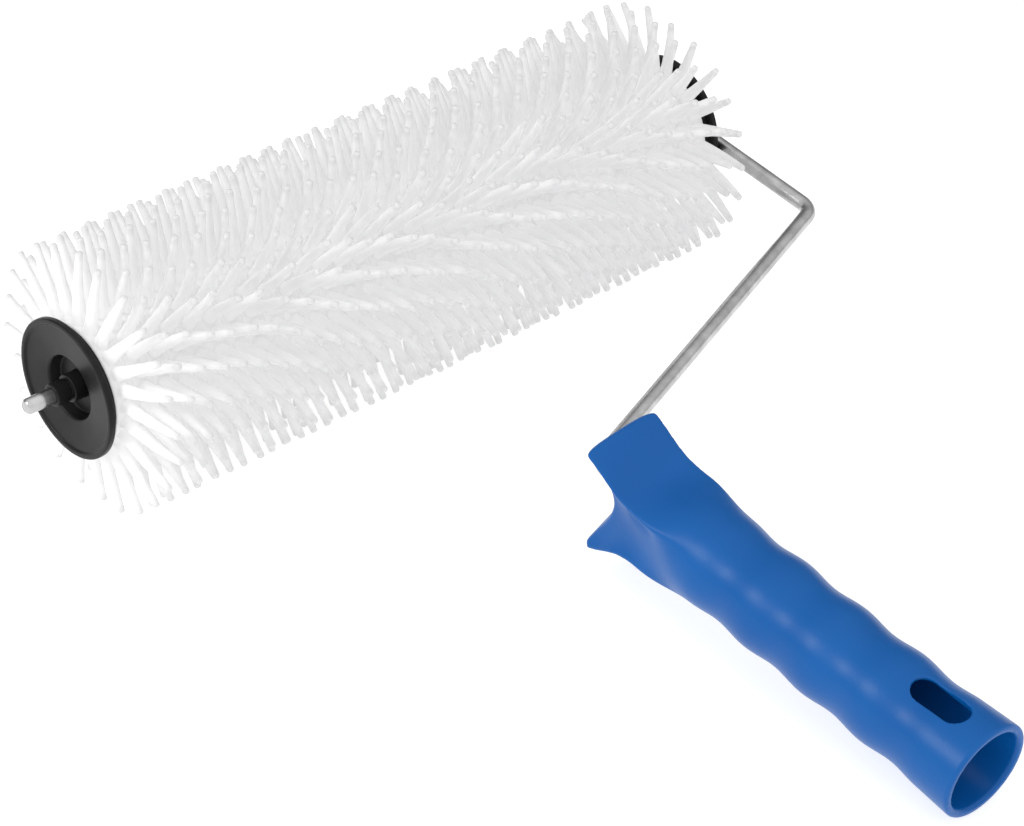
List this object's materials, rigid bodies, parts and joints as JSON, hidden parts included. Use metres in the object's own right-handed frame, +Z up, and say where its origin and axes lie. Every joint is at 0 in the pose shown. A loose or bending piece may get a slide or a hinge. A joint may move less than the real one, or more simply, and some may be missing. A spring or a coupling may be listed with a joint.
{
  "type": "spiked roller",
  "caption": "Hand roller with radial plastic spikes on stacked rings, turning on a bent wire frame with a hollow waved grip that takes an extension pole.",
  "frame": {"origin": "middle of the bounding box's underside, on the floor that the spikes and the grip's tail rest on", "axes": "+X along the roller's axis towards the side leg, +Y from the grip towards the roller, +Z up from the floor"},
  "size_m": [0.2688, 0.3155, 0.0868],
  "materials": {
    "white_nylon": "moulded white nylon, satin, slightly translucent",
    "core_plastic": "extruded plastic tube, matte",
    "black_plastic": "moulded black plastic, satin to gloss",
    "plated_wire": "drawn steel, bright zinc plating",
    "blue_plastic": "moulded blue plastic, semi-gloss"
  },
  "bodies": {
    "frame": {"wire_frame": "plated_wire", "stop_washer": "plated_wire", "retaining_collar": "black_plastic", "handle_grip": "blue_plastic"},
    "roller": {"core_tube": "core_plastic", "left_end_cap": "black_plastic", "right_end_cap": "black_plastic", "left_bush": "black_plastic", "right_bush": "black_plastic", "spike_ring_01": "white_nylon", "spike_ring_02": "white_nylon", "spike_ring_03": "white_nylon", "spike_ring_04": "white_nylon", "spike_ring_05": "white_nylon", "spike_ring_06": "white_nylon", "spike_ring_07": "white_nylon", "spike_ring_08": "white_nylon", "spike_ring_09": "white_nylon", "spike_ring_10": "white_nylon", "spike_ring_11": "white_nylon", "spike_ring_12": "white_nylon", "spike_ring_13": "white_nylon", "spike_ring_14": "white_nylon", "spike_ring_15": "white_nylon", "spike_ring_16": "white_nylon", "spike_ring_17": "white_nylon", "spike_ring_18": "white_nylon", "spike_ring_19": "white_nylon", "spike_ring_20": "white_nylon", "spike_ring_21": "white_nylon", "spike_ring_22": "white_nylon", "spike_ring_23": "white_nylon", "spike_ring_24": "white_nylon", "spike_ring_25": "white_nylon", "spike_ring_26": "white_nylon", "spike_ring_27": "white_nylon", "spike_ring_28": "white_nylon", "spike_ring_29": "white_nylon", "spike_ring_30": "white_nylon", "spike_ring_31": "white_nylon", "spike_ring_32": "white_nylon", "spike_ring_33": "white_nylon", "spike_ring_34": "white_nylon"}
  },
  "joints": [
    {"name": "roller_spin", "type": "hinge", "parent": "frame", "child": "roller", "pos_m": [0.00435, 0.11438, 0.0434], "axis": [1, 0, 0], "continuous": true}
  ]
}
